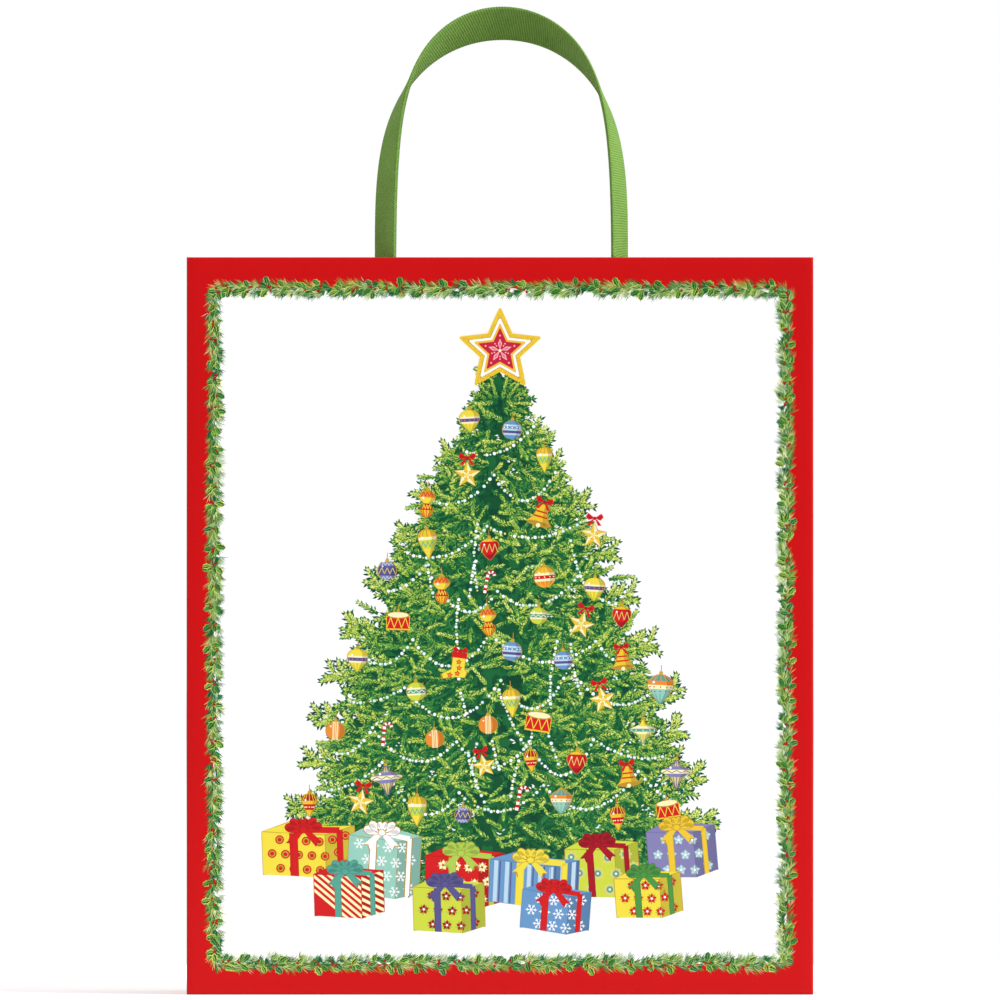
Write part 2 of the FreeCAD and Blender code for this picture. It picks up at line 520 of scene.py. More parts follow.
def make_wall(side):
    columns, rows = wall_columns(), wall_rows()
    outer, inner = [], []
    for z, outer_inset, inner_inset in rows:
        outer.append([placed(side, u, d + outer_inset - wall_bulge(u, z), z) for u, d, _, _ in columns])
        inner.append([placed(side, u, d + inner_inset - wall_bulge(u, z), z) for _, _, u, d in columns])

    def kind(r, c):
        u = (columns[c][0] + columns[c + 1][0]) / 2
        z = (rows[r][0] + rows[r + 1][0]) / 2
        return 1 if abs(u) < FIELD_HALF_WIDTH and FIELD_FOOT < z < FIELD_TOP else 0

    make_sheet(side + "_panel", side + "_wall", (outer, inner), (kind, 2, 0), ("red", "field", "reverse"),
               "printed_laminate")


def two_faces(side, columns, rows, shape):
    """Points of both faces of a panel, from rows of height and two depths. Its shape adds to the depths."""
    return [[[placed(side, u, row[face] + shape(u, row[0]), row[0]) for u in columns] for row in rows]
            for face in (1, 2)]


def make_gusset(side):
    folded = HALF_DEPTH + 6
    heights = steps(0, folded, GUSSET_STEP) + steps(folded, RIM - SHEET, 2.4 * GUSSET_STEP)[1:]
    rows = [(z, SEAM_INSET, SHEET) for z in heights]
    for b in RIM_TURNS:
        rows.append((RIM - SHEET * (1 - sin(b)), SEAM_INSET + (SHEET - SEAM_INSET) * (1 - cos(b)), SHEET))
    reach = HALF_DEPTH - EDGE_ROUND - SEAM_INSET
    columns = stations(-reach, 0, reach, size=GUSSET_STEP)
    faces = two_faces(side, columns, rows, gusset_inset)
    make_sheet(side + "_gusset", side + "_gusset_sheet", faces, (0, 1, 0))


def hem_lift(u, z):
    """The free lower edge of a hem stands off the wall a little, unevenly."""
    free = max(0.0, 1 - (z - HEM_FOOT) / 4.0)
    return free * (0.16 + 0.12 * sin(u / 17.0) + 0.08 * sin(u / 7.3 + 1.0))


def make_hem(side):
    across = side in INWARDS
    reach = (HALF_WIDTH - SHEET if across else LINED) - 0.1
    columns = steps(-reach, reach, HEM_STEP) if across else stations(-reach, 0, reach, size=GUSSET_STEP)
    behind_depth = SHEET + 0.02
    rows = [(HEM_FOOT + up, (2 - tuck) * SHEET, behind_depth) for up, tuck in HEM_EDGE]
    rows += [(z, 2 * SHEET, behind_depth) for z in steps(HEM_FOOT + 2, RIM - SHEET, HEM_STEP)]
    rows += [(RIM - SHEET + SHEET * sin(b), SHEET * (1 + cos(b)), SHEET) for b in RIM_TURNS]

    def shape(u, z):
        return hem_lift(u, z) + (-wall_bulge(u, z) if across else gusset_inset(u, z))

    facing, behind = two_faces(side, columns, rows, shape)
    make_sheet(side + "_hem", side + "_hem_fold", (behind, facing), (1, 0, 0))


def make_base_sheet():
    low, high = node_box("bottom_panel")
    xs = steps(low[0] + SEAM_INSET, high[0] - SEAM_INSET, 6.0)
    ys = steps(low[1] + SEAM_INSET, high[1] - SEAM_INSET, 6.0)

    def give(x, y):
        edge = min(1.0, min(high[0] - abs(x), high[1] - abs(y)) / 12.0)
        return 0.35 * eased(edge) + 0.1 * sin(x / 21.0) * sin(y / 13.0) * edge

    faces = [[[(x, y, level + give(x, y)) for x in xs] for y in ys] for level in (high[2], low[2])]
    make_sheet("bottom_panel", "base_sheet", faces, (1, 0, 0))


# ================================================================ thread and bindings
STITCH_SIDES = 6
BINDING_SIDES = 16
PATCH_SIDES = 48


def add_stitches(mesh, start, end, out, kind, length=2.6, gap=0.9, radius=0.26):
    """A run of lock stitches from start to end: short threads that dip into the fabric at both ends."""
    start, end, out = Vector(start), Vector(end), Vector(out)
    run = end - start
    count = max(1, int(run.length / (length + gap)))
    pitch = run.length / count
    run.normalize()
    half = (pitch - gap) / 2
    side = run.cross(out)
    for index in range(count):
        centre = start + run * (pitch * (index + 0.5))
        rings = []
        for t in (-1.0, -0.82, -0.4, 0.0, 0.4, 0.82, 1.0):
            thick = radius * sqrt(max(0.05, 1 - t * t * 0.95))
            middle = centre + run * (half * t) + out * (radius * (0.75 - t * t))
            rings.append([middle + (side * cos(a) + out * sin(a)) * thick for a in around(STITCH_SIDES)])
        mesh.tube(rings, kind)


def make_binding(node, along, out):
    """A bound seam allowance: a soft folded tape with a row of stitches down its middle."""
    middle, half = middle_and_half(node)
    depth = next(axis for axis in range(3) if out[axis])
    across = 3 - along - depth
    first, last = middle[along] - half[along], middle[along] + half[along]
    rings = []
    for station in steps(first + 0.05, last - 0.05, 5.0):
        ring = []
        for a in around(BINDING_SIDES):
            wave = 0.12 * sin(station / 9.0 + along) * (1 - abs(cos(a)))
            point = list(middle)
            point[along] = station
            point[across] += squared(cos(a), 0.35) * (half[across] - 0.05) + wave
            point[depth] += squared(sin(a), 0.6) * (half[depth] - 0.02)
            ring.append(point)
        rings.append(ring)
    mesh = Mesh()
    mesh.tube(rings, 0)
    start, end = list(middle), list(middle)
    start[along], end[along] = first + 2, last - 2
    start[depth] = end[depth] = middle[depth] + out[depth] * (half[depth] - 0.05)
    add_stitches(mesh, start, end, out, 1)
    mesh.build(node.replace("_seam", "_binding"), ["binding", "white_thread"], "seam_binding", node)


def make_patch(end, side):
    """The doubled square of fabric behind a sewn handle end, with rounded corners and a pressed edge."""
    node = f"{end}_{side}_handle_patch"
    middle, half = middle_and_half(node)
    wall = middle[1] - INWARDS[end] * half[1]
    rings = []
    for inset, level in ((0.0, 0.02), (0.0, 0.5), (0.35, 0.9), (1.1, 1.0)):
        ring = []
        for a in around(PATCH_SIDES):
            x = middle[0] + squared(cos(a), 0.22) * (half[0] - inset)
            z = middle[2] + squared(sin(a), 0.22) * (half[2] - inset)
            ring.append((x, wall + INWARDS[end] * (level * SHEET - wall_bulge(x, z)), z))
        rings.append(ring)
    mesh = Mesh()
    mesh.tube(rings, 0)
    piece = mesh.build(node.replace("handle_patch", "strap_patch"), ["binding"], "white_nonwoven", node)
    piece.data.set_sharp_from_angle(angle=radians(50))


def make_box_stitches(end, side):
    """Thread of one sewn handle end: a box with a cross in it."""
    node = f"{end}_{side}_handle_stitches"
    middle, half = middle_and_half(node)
    face = middle[1] - INWARDS[end] * half[1]
    corners = [(middle[0] + i * (half[0] - 0.25), middle[2] + k * (half[2] - 0.25))
               for i, k in ((-1, -1), (1, -1), (1, 1), (-1, 1))]
    mesh = Mesh()
    for a, b in ((0, 1), (1, 2), (2, 3), (3, 0), (0, 2), (1, 3)):
        (x0, z0), (x1, z1) = corners[a], corners[b]
        y = face - INWARDS[end] * (0.12 + wall_bulge((x0 + x1) / 2, (z0 + z1) / 2))
        add_stitches(mesh, (x0, y, z0), (x1, y, z1), (0, INWARDS[end], 0), 0, 2.3, 0.7, 0.3)
    mesh.build(node.replace("handle_stitches", "box_stitching"), ["thread"], "thread", node)


# ================================================================ webbing handles
def edge_reach(turn):
    angle = radians(turn)
    return STRAP_WIDTH / 2 * cos(angle) + STRAP_THICK / 2 * abs(sin(angle))


def riser_y(turn, share):
    return -LINED + edge_reach(turn) + CLEARANCE * share


def strap_course():
    """Points of the strap's centre line with their turn, from the left sewn end round to the right one."""
    left_turn, right_turn = RIM_TURN - TURN_SKEW, RIM_TURN + TURN_SKEW

    def riser(sign, rim_turn):
        rows = []
        for z in steps(SEWN_FOOT, RIM, 1.0):
            share = eased((z - SEWN_TOP) / (RIM - SEWN_TOP))
            turn = SEWN_TURN + (rim_turn - SEWN_TURN) * share
            x = sign * HALF_SPAN + LOOP_SHIFT * share
            rows.append((Vector((x, riser_y(turn, share) - wall_bulge(x, z) * (1 - share), z)), turn))
        return rows

    arch = []
    count = 600
    for i in range(1, count):
        angle = pi * (1 - i / count)
        up = sin(angle) ** (2 / ROUNDNESS)
        x = HALF_SPAN * cos(angle) * (1 - TAPER * eased(up * 2)) + LOOP_SHIFT
        rim_turn = RIM_TURN + TURN_SKEW * cos(angle)
        centre = Vector((x, riser_y(rim_turn, 1) + LEAN * up**LEAN_POWER, RIM + RISE * up))
        arch.append((centre, rim_turn))
    run = [0.0]
    for (before, _), (after, _) in zip(arch, arch[1:]):
        run.append(run[-1] + (after - before).length)
    rows = riser(-1, left_turn)
    for (centre, rim_turn), s in zip(arch, run):
        from_rim = min(s, run[-1] - s) / (run[-1] / 2)
        mix = (1 - cos(pi * from_rim**TURN_POWER)) / 2
        rows.append((centre, rim_turn + (CROWN_TURN - rim_turn) * mix))
    return rows + riser(1, right_turn)[::-1]


def resampled(course, size):
    """Evenly spaced stations, with a tangent and the direction that points out of the loop."""
    centres = np.array([tuple(centre) for centre, _ in course])
    turns = np.array([turn for _, turn in course])
    run = np.concatenate([[0], np.cumsum(np.linalg.norm(np.diff(centres, axis=0), axis=1))])
    count = int(run[-1] / size)
    at = np.linspace(0, run[-1], count)
    line = np.stack([np.interp(at, run, centres[:, axis]) for axis in range(3)], axis=1)
    for _ in range(12):
        line[1:-1] = (line[:-2] + 2 * line[1:-1] + line[2:]) / 4
    tangent = np.gradient(line, axis=0)
    tangent /= np.linalg.norm(tangent, axis=1)[:, None]
    outward = np.stack([-tangent[:, 2], np.zeros(count), tangent[:, 0]], axis=1)
    outward /= np.linalg.norm(outward, axis=1)[:, None]
    return at, line, tangent, outward, np.interp(at, run, turns)


def strap_section():
    """Places across the webbing, once round its section, with which face each belongs to."""
    rim = STRAP_THICK / 2
    edge = [STRAP_WIDTH / 2 - rim * (1 - cos(a)) for a in (0.0, 0.5, 0.95, 1.35)]
    flat = steps(-(STRAP_WIDTH / 2 - rim), STRAP_WIDTH / 2 - rim, 1.05)
    across = [-e for e in edge] + flat[1:-1] + edge[::-1]
    return [(w, 1) for w in across] + [(w, -1) for w in across[-2:0:-1]]


def strap_skin(at, line, tangent, outward, turn):
    """Points of the webbing round each station, and the places of the weave that they wear."""
    angle = np.radians(turn)[:, None]
    across = np.array([0.0, -1.0, 0.0]) * np.cos(angle) + outward * np.sin(angle)
    across -= tangent * np.sum(across * tangent, axis=1)[:, None]
    across /= np.linalg.norm(across, axis=1)[:, None]
    through = np.cross(tangent, across)
    risen = np.clip((line[:, 2] - SEWN_TOP) / (RIM - SEWN_TOP), 0, 1)
    slim = 1 - SLIMMER * risen * risen * (3 - 2 * risen)
    points, weave = [], []
    for w, face in strap_section():
        over = max(0.0, abs(w) - (STRAP_WIDTH / 2 - STRAP_THICK / 2)) / (STRAP_THICK / 2)
        round_off = sqrt(max(0.0, 1 - over * over))
        rib = RIB_HEIGHT * (0.5 - 0.5 * np.sin(2 * pi * (at + RIB_SLANT * w * face) / RIB_PITCH))
        half = (STRAP_THICK / 2 - rib - 0.025 * cos(2 * pi * w / 1.6)) * slim * round_off * face
        side_bump = 0.06 * np.sin(2 * pi * at / RIB_PITCH) * over
        points.append(line + across * (w + side_bump * np.sign(w))[:, None] + through * half[:, None])
        weave.append(np.stack([np.full(len(at), w * face), at], axis=1))
    return np.stack(points, axis=1), np.stack(weave, axis=1)


def make_strap(end):
    course = resampled(strap_course(), STRAP_STEP)
    grid, weave = strap_skin(*course)
    grid[:, :, 1] *= INWARDS[end]
    rows, columns = grid.shape[:2]
    index = np.arange(rows * columns).reshape(rows, columns)
    ring = np.roll(index, -1, axis=1)
    faces = np.stack([index[:-1], ring[:-1], ring[1:], index[1:]], axis=-1).reshape(-1, 4).tolist()
    faces += [index[0][::-1].tolist(), index[-1].tolist()]
    points = grid.reshape(-1, 3).tolist()
    piece = filled(end + "_strap", points, faces, [0] * len(faces), [MATERIALS["webbing"]])
    loops = np.empty(len(piece.data.loops), dtype=np.int64)
    piece.data.loops.foreach_get("vertex_index", loops)
    piece.data.uv_layers.new(name="weave").data.foreach_set("uv", weave.reshape(-1, 2)[loops].ravel())
    turn_outwards(piece)
    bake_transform(piece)
    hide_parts(end + "_handle_loop", f"{end}_left_handle_end", f"{end}_right_handle_end")


# ================================================================ the print
SHADES = {
    "navy": "0B452E", "deep": "115130", "forest": "1B6638", "pine": "2C7C3E", "green": "4C9243",
    "leaf": "7DAF45", "lime": "AECA50", "tip": "D2DC62", "pale": "ECED90", "white": "FFFFFF",
    "mist": "DDEFE4", "gold": "EBC534", "brass": "B98F34", "yellow": "EFDB45", "cream": "F8F1BC",
    "orange": "EC8C34", "red": "D01D20", "crimson": "A51526", "pink": "EE6E8C", "blush": "F6C4CC",
    "violet": "8580B4", "plum": "59548C", "sky": "6796C6", "ice": "BCD6E8", "teal": "55A392",
    "aqua": "95CBBB", "amber": "F0BE46", "ruby": "C8203C", "moss": "74A34A", "olive": "A8B532",
    "chartreuse": "CBD644", "sage": "93BC70", "straw": "DBCF7A", "frost": "D5E6AE", "wine": "8A1D1C",
}
SHADE_NAMES = [name + turn for name in SHADES for turn in ("", "-")]
TURNED_AWAY = 0.84
CELL = 12.0


def shade_ink(name):
    """The ink of a shade. A minus sign after its name is the same shade on a side turned from the light."""
    code = SHADES[name.rstrip("-")]
    if name.endswith("-"):
        code = "".join(f"{int(int(code[i : i + 2], 16) * TURNED_AWAY):02X}" for i in (0, 2, 4))
    return ink(name.replace("-", "_shaded"), code)


INKS = [shade_ink(name) for name in SHADE_NAMES]


def ring(x, z, r, sides=12, flat=1.0, start=0.0):
    return [(x + r * cos(start + a), z + flat * r * sin(start + a)) for a in around(sides)]


class Print:
    """Flat shapes of ink on a printed wall, each layer a hair in front of the one below it."""

    def __init__(self):
        self.points, self.faces, self.kinds = [], [], []
        self.put(0, 0)

    def put(self, x, z, angle=0.0, size=1.0):
        self.x, self.z, self.size = x, z, size
        self.cos, self.sin = cos(radians(angle)) * size, sin(radians(angle)) * size

    def shape(self, outline, shade, lift=0):
        points = [(self.x + self.cos * x - self.sin * z, self.z + self.sin * x + self.cos * z)
                  for x, z in outline]
        if sum(a[0] * b[1] - b[0] * a[1] for a, b in zip(points, points[1:] + points[:1])) < 0:
            points.reverse()
        depth = INK_LIFT + lift * INK_LAYER
        start = len(self.points)
        self.points.extend((x, -depth - wall_bulge(x, z), z) for x, z in points)
        self.faces.append(tuple(range(start, start + len(points))))
        self.kinds.append(SHADE_NAMES.index(shade))

    def patch(self, corners, shade, lift=0):
        """A four-cornered face, in cells small enough to follow the wall."""
        (ax, az), (bx, bz), (cx, cz), (dx, dz) = corners
        wide = max(1, ceil(hypot(bx - ax, bz - az) / CELL))
        tall = max(1, ceil(hypot(dx - ax, dz - az) / CELL))

        def at(s, t):
            return ((ax * (1 - s) + bx * s) * (1 - t) + (dx * (1 - s) + cx * s) * t,
                    (az * (1 - s) + bz * s) * (1 - t) + (dz * (1 - s) + cz * s) * t)

        for i in range(wide):
            for j in range(tall):
                s, t, u, v = i / wide, j / tall, (i + 1) / wide, (j + 1) / tall
                self.shape([at(s, t), at(u, t), at(u, v), at(s, v)], shade, lift)

    def disc(self, x, z, r, shade, lift=0, sides=12, flat=1.0):
        self.shape(ring(x, z, r, sides, flat), shade, lift)

    def line(self, x0, z0, x1, z1, width, shade, lift=0):
        half = width / 2 / (hypot(x1 - x0, z1 - z0) or 1.0)
        nx, nz = (z0 - z1) * half, (x1 - x0) * half
        outline = [(x0 + nx, z0 + nz), (x0 - nx, z0 - nz), (x1 - nx, z1 - nz), (x1 + nx, z1 + nz)]
        self.shape(outline, shade, lift)

    def needle(self, x, z, angle, length, width, shade, lift=0):
        """One brush stroke: pointed at both ends, widest past its middle."""
        c, s = cos(angle), sin(angle)
        mx, mz = x + c * length * 0.55, z + s * length * 0.55
        nx, nz = -s * width / 2, c * width / 2
        tip = (x + c * length, z + s * length)
        self.shape([(x, z), (mx - nx, mz - nz), tip, (mx + nx, mz + nz)], shade, lift)

    def build(self, name, end):
        way = INWARDS[end]
        points = [(way * x, way * (y - HALF_DEPTH), z) for x, y, z in self.points]
        used = sorted(set(self.kinds))
        kinds = [used.index(kind) for kind in self.kinds]
        piece = filled(name, points, self.faces, kinds, [INKS[kind] for kind in used], smooth=False)
        piece.visible_shadow = False  # ink has no thickness to cast one with
        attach(piece, "bag")


def half_width_at(z):
    """Half the fir's width at a height: a cone with gently bulging sides."""
    t = min(1.0, max(0.0, (z - FIR_FOOT) / (FIR_TOP - FIR_FOOT)))
    return FIR_TIP + (FIR_HALF_WIDTH - FIR_TIP) * (1 - t**FIR_SWELL)


DARKS = ("navy", "deep", "deep", "forest")
BOUGH_PASSES = [  # shades from dark to light, needle length and width, gap, angle from the twig
    (("navy", "deep", "forest", "pine"), 4.6, 1.25, 2.3, 0.9),
    (("deep", "forest", "pine", "green"), 3.5, 0.92, 1.45, 0.78),
    (("pine", "green", "leaf", "lime"), 2.9, 0.68, 1.2, 0.68),
    (("green", "leaf", "lime", "tip"), 2.6, 0.62, 1.3, 0.64),
    (("leaf", "lime", "tip", "pale"), 2.3, 0.58, 1.4, 0.6),
]
STAGGER = 3  # layers that each pass's needles are shared out over, so that neighbours don't touch


def twig(page, rng, x, z, angle, length, curl, lift, passes=(0, 1, 2, 3), size=1.0, core=1.8, glow=0.0):
    """A fir twig: needles both sides of a bent stem, light ones over dark ones and above them."""
    for order, number in enumerate(passes):
        shades, reach, width, gap, spread = BOUGH_PASSES[number]
        count = max(2, int(length / (gap * size)))
        px, pz, turn = x, z, angle
        level = lift + STAGGER * order
        for i in range(count):
            t = i / count
            from_x, from_z = px, pz
            px += cos(turn) * length / count
            pz += sin(turn) * length / count
            turn += curl / count
            if number == 1:
                page.line(from_x, from_z, px, pz, core * (1 - 0.6 * t), shades[1 + (t > 0.5)], level)
            for side in (-1, 1):
                if number > 1 and rng.random() > 0.6 + 0.4 * t:
                    continue
                aim = turn + side * spread * rng.uniform(0.6, 1.35) * (1 - 0.3 * t)
                tone = 1.5 * t + 1.4 * rng.random() + 0.8 * sin(aim) + (glow + 0.45 if number > 1 else -0.2)
                page.needle(px, pz, aim, reach * size * (1 - 0.35 * t) * rng.uniform(0.7, 1.2), width * size,
                            shades[max(0, min(3, int(tone)))], level + (2 * i + side) % STAGGER)
        page.needle(px, pz, turn, reach * size * 0.8, width * size, shades[3], level)


TIERS = 5  # tiers of boughs that have layers of their own before the layers are used again
TIER_LAYERS = 15
BOUGH_RANKS = [(0.97, 1.04, 0.4), (0.76, 0.9, -0.5), (0.8, 0.93, -1.0)]  # shares of the width, and glow


def bough(page, rng, side, reach, tip_z, lift, glow):
    """A bough, from near the trunk out to its tip, with twigs that fork off and get lighter outwards."""
    start, rise = reach * 0.16, reach * rng.uniform(0.02, 0.24)
    length = reach - start
    count = max(3, int(length / 4.6))

    def heading(t, fork=0.0):
        aim = atan2(1.5 * rise * sqrt(t), length) + fork
        return aim if side > 0 else pi - aim

    def along(t):
        return side * (start + length * t), tip_z - rise * (1 - t**1.5)

    for i in range(count):
        t = (i + rng.random() * 0.6) / count
        passes = (0, 1, 2, 3, 4) if t > 0.72 else (0, 1, 2, 3) if rng.random() < 0.4 + 0.5 * t else (0, 1)
        for fork in (-1, 1):
            aim = heading(t, fork * rng.uniform(0.35, 0.95))
            size = rng.uniform(8.5, 13.5) * (1.1 - 0.5 * t)
            twig(page, rng, *along(t), aim, size, side * 0.3, lift, passes, glow=glow + 1.6 * t - 0.9)
    curl = heading(1.0) - heading(0.0)
    twig(page, rng, *along(0.0), heading(0.0), length * 1.01, curl, lift, (0, 1, 3), 1.1, 5.0, glow)
    twig(page, rng, *along(0.88), heading(1.0), 5.5, 0, lift + 3, (2, 3, 4), glow=glow + 0.6)


def paint_depths(page, rng):
    """Dark blots behind the boughs."""
    for row in range(int((FIR_TOP - FIR_FOOT) / 3.6)):
        z = FIR_FOOT + 1 + row * 3.6
        reach = half_width_at(z) * 0.74 - 2
        for column in range(max(0, int(2 * reach / 4.0)) + 1):
            x = column * 4.0 - reach
            turn = rng.uniform(0, 6)
            page.shape([(x + rng.uniform(2.6, 4.6) * cos(turn + k * 0.9),
                         z + rng.uniform(2.6, 4.6) * sin(turn + k * 0.9)) for k in range(7)],
                       rng.choice(DARKS), column % 3 + 3 * (row % 3))


def paint_tree(page, rng):
    """The fir: dark depths first, then boughs from the foot upwards."""
    paint_depths(page, rng)
    z, tier = FIR_FOOT + 4.0, 0
    while z < FIR_TOP - 6:
        for side in (-1, 1):
            rank = (tier + (side > 0)) % len(BOUGH_RANKS)
            least, most, glow = BOUGH_RANKS[rank]
            share = rng.uniform(least, most)
            tip_z = z + rng.uniform(-1.5, 1.5)
            reach = max(5.0, half_width_at(tip_z) * share - 4)
            bough(page, rng, side, reach, tip_z, BOUGH_LAYER + TIER_LAYERS * (tier % TIERS), glow)
        z += min(8.2, 5.0 + (FIR_TOP - z) * 0.03) * rng.uniform(0.9, 1.1)
        tier += 1


def paint_sprigs(page, rng):
    """Sprigs over the fir's boughs, those at its top, and touches of frost."""
    rows = int((FIR_TOP - FIR_FOOT) / 6.0)
    for row in range(rows):
        z = FIR_FOOT + 5 + row * 6.0
        height = row / rows
        reach = half_width_at(z) * 0.84 - 3
        count = max(2, int(2 * reach / (7.4 - 1.8 * height)))
        for k in range(count):
            x = -reach + 2 * reach * (k + 0.5 + 0.25 * (-1) ** row) / count + rng.uniform(-3, 3)
            share = max(-1, min(1, x / max(8.0, half_width_at(z))))
            if abs(share) > 0.5 and rng.random() < 0.4:
                continue
            outward = x > 0 if rng.random() < 0.5 + abs(share) else x < 0
            aim = radians(rng.uniform(-75, 50))
            twig(page, rng, x, z + rng.uniform(-3, 3), aim if outward else pi - aim, rng.uniform(8.5, 12.5),
                 rng.uniform(-0.5, 0.5), SPRIG_LAYER + 9 * (k % 2),
                 (1, 2, 4) if rng.random() < 0.5 else (1, 2, 3), glow=0.2 + 0.6 * height)
    for lean in (-64, 58, -40, 36, -16, 12):
        twig(page, rng, 0.1 * lean, FIR_TOP - 15.5, radians(90 - lean), 12.0 - abs(lean) * 0.06, 0,
             TOP_TWIG_LAYER, size=0.75)
    for _ in range(46):
        z = FIR_FOOT + 12 + (FIR_TOP - FIR_FOOT - 26) * rng.random() ** 1.4
        x = rng.uniform(-0.9, 0.9) * half_width_at(z)
        for k in range(rng.randrange(3, 7)):
            page.needle(x + rng.uniform(-2, 2), z + rng.uniform(-1.6, 1.6), rng.uniform(-0.7, 0.7),
                        rng.uniform(1.2, 2.4), 0.8, rng.choice(["mist", "white"]), FROST_LAYER + k % 2)


def hang_beads(page, rng):
    """Strings of pearls in swags across the tree, and a few that hang straight."""

    def string(points):
        for i, (x, z) in enumerate(points):
            if abs(x) > half_width_at(z) * 0.82 or rng.random() < 0.05:
                continue
            x, z = x + rng.uniform(-0.3, 0.3), z + rng.uniform(-0.3, 0.3)
            if i % 2:
                r = rng.uniform(0.45, 0.65)
                page.disc(x, z, r, rng.choice(["pale", "tip", "mist"]), BEAD_LAYER + 1, 7)
            else:
                page.disc(x, z, 1.08, "teal", BEAD_LAYER, 8)
                r = rng.uniform(0.75, 0.95)
                page.disc(x, z, r, rng.choice(["white", "white", "mist"]), BEAD_LAYER + 2, 8)

    z = 305.0
    while z > 92:
        reach = half_width_at(z) * 0.97
        left, left_z = -reach - rng.uniform(0, 15), z + rng.uniform(-8, 8)
        while left < reach:
            right = left + rng.uniform(34, 58)
            right_z = z + rng.uniform(-9, 9)
            sag = rng.uniform(9, 19)
            beads = int(hypot(right - left, sag * 1.8) / 1.9)
            string([(left + (right - left) * t, left_z + (right_z - left_z) * t - 4 * sag * t * (1 - t))
                    for t in (i / beads for i in range(beads))])
            left, left_z = right, right_z
        z -= rng.uniform(23, 29)
    for _ in range(15):
        z, lean = rng.uniform(120, 275), rng.uniform(-0.35, 0.35)
        x = rng.uniform(-0.7, 0.7) * half_width_at(z)
        string([(x + lean * i * 2 + 0.02 * i * i, z - i * 1.9) for i in range(rng.randrange(9, 22))])


BOW_LOOP = [(0, 0), (0.85, 0.66), (1.15, 0.2), (0.8, -0.25)]
BOW_HOLLOW = [(0.3, 0.08), (0.85, 0.34), (0.75, -0.02)]
BOW_END = [(0, 0), (0.35, -0.2), (0.95, -0.9), (0.5, -0.95)]


def bow(page, x, z, size, shade, lift):
    """A small ribbon bow: two loops, two tails and a knot."""
    for side in (-1, 1):
        for part, turn, level in ((BOW_LOOP, "", 0), (BOW_HOLLOW, "-", 1), (BOW_END, "", 0)):
            outline = [(x + side * size * px, z + size * pz) for px, pz in part]
            page.shape(outline, shade + turn, lift + level)
    page.disc(x, z, size * 0.22, shade + "-", lift + 2, 8)


def star(page, x, z, r, lift, rim="brass", body="cream"):
    """A five-pointed star whose arms are lit on one side."""
    radii = [(1.0 if k % 2 == 0 else 0.44, pi / 2 + k * pi / 5) for k in range(10)]
    points = [(x + r * q * cos(a), z + r * q * sin(a)) for q, a in radii]
    page.shape([(x + (r * q + 0.5) * cos(a), z + (r * q + 0.5) * sin(a)) for q, a in radii], rim, lift)
    for k in range(10):
        page.shape([(x, z), points[k], points[(k + 1) % 10]], body if k % 2 else "gold", lift + 1)
        if r > 4:
            a = pi / 2 + k * pi / 5
            page.disc(x + r * 0.3 * cos(a), z + r * 0.3 * sin(a), 0.35, rim, lift + 2, 5)


def hook(page, x, z, lift):
    page.line(x, z + 4.6, x, z, 0.45, "brass", lift)
    cap = [(x - 1.2, z - 0.9), (x + 1.2, z - 0.9), (x + 0.8, z + 1.1), (x - 0.8, z + 1.1)]
    page.shape(cap, "gold-", lift + 1)


PROFILES = {
    "round": lambda t: sqrt(max(0.0, 1 - (2 * t - 1) ** 2)) / 2,
    "onion": lambda t: 0.47 * sin(pi * t**0.7) ** 0.8 * (1 - 0.25 * t) if 0 < t < 1 else 0.0,
    "drop": lambda t: 0.31 * sin(pi * min(1.0, t * 0.97 + 0.03) ** 0.55),
    "spindle": lambda t: 0.07 + 0.2 * abs(sin(2 * pi * t)) * (1.3 - 0.7 * t),
    "top": lambda t: 0.05 + 0.5 * exp(-(((t - 0.4) / 0.16) ** 2)) + 0.13 * exp(-(((t - 0.68) / 0.1) ** 2)),
}


def turned(page, height, profile, bands, lift):
    """A round glass ornament hung by its cap, in painted bands from the top down."""
    hook(page, 0, 0.6, lift)
    wide = PROFILES[profile]

    def slab(t0, t1, grow, shade, level, left=-1.0):
        ts = [t0 + (t1 - t0) * i / 5 for i in range(6)]
        page.shape([(left * (wide(t) * height + grow), -t * height) for t in ts]
                   + [(wide(t) * height + grow, -t * height) for t in reversed(ts)], shade, level)

    for i in range(4):
        slab(i / 4, (i + 1) / 4, 0.4, "brass", lift)
    top = 0.0
    for band in bands:
        share, shade, *marks = band.split(":")
        foot = top + int(share) / 100
        slab(top, foot, 0.0, shade, lift + 1)
        slab(top, foot, 0.0, shade + "-", lift + 2, 0.5)
        middle = (top + foot) / 2
        half, z, tall = wide(middle) * height * 0.9, -middle * height, (foot - top) * height
        if marks and marks[0] == "dots":
            for k in range(-2, 3):
                page.disc(half * sin(k * 0.62), z, 0.42, marks[1], lift + 3, 6)
        elif marks and marks[0] == "zig":
            for k in range(6):
                a, b = -half + half * k / 3, -half + half * (k + 1) / 3
                flip = tall * 0.32 * (-1) ** k
                page.line(a, z - flip, b, z + flip, 0.4, marks[1], lift + 3)
        elif marks:
            for k in range(-2, 3):
                lean = sin(k * 0.62)
                page.line(lean * wide(top + 0.02) * height, -top * height, lean * wide(foot - 0.02) * height,
                          -foot * height, 0.4, marks[1], lift + 3)
        top = foot
    page.disc(-wide(0.3) * height * 0.55, -height * 0.27, height * 0.045, "white", lift + 4, 7)


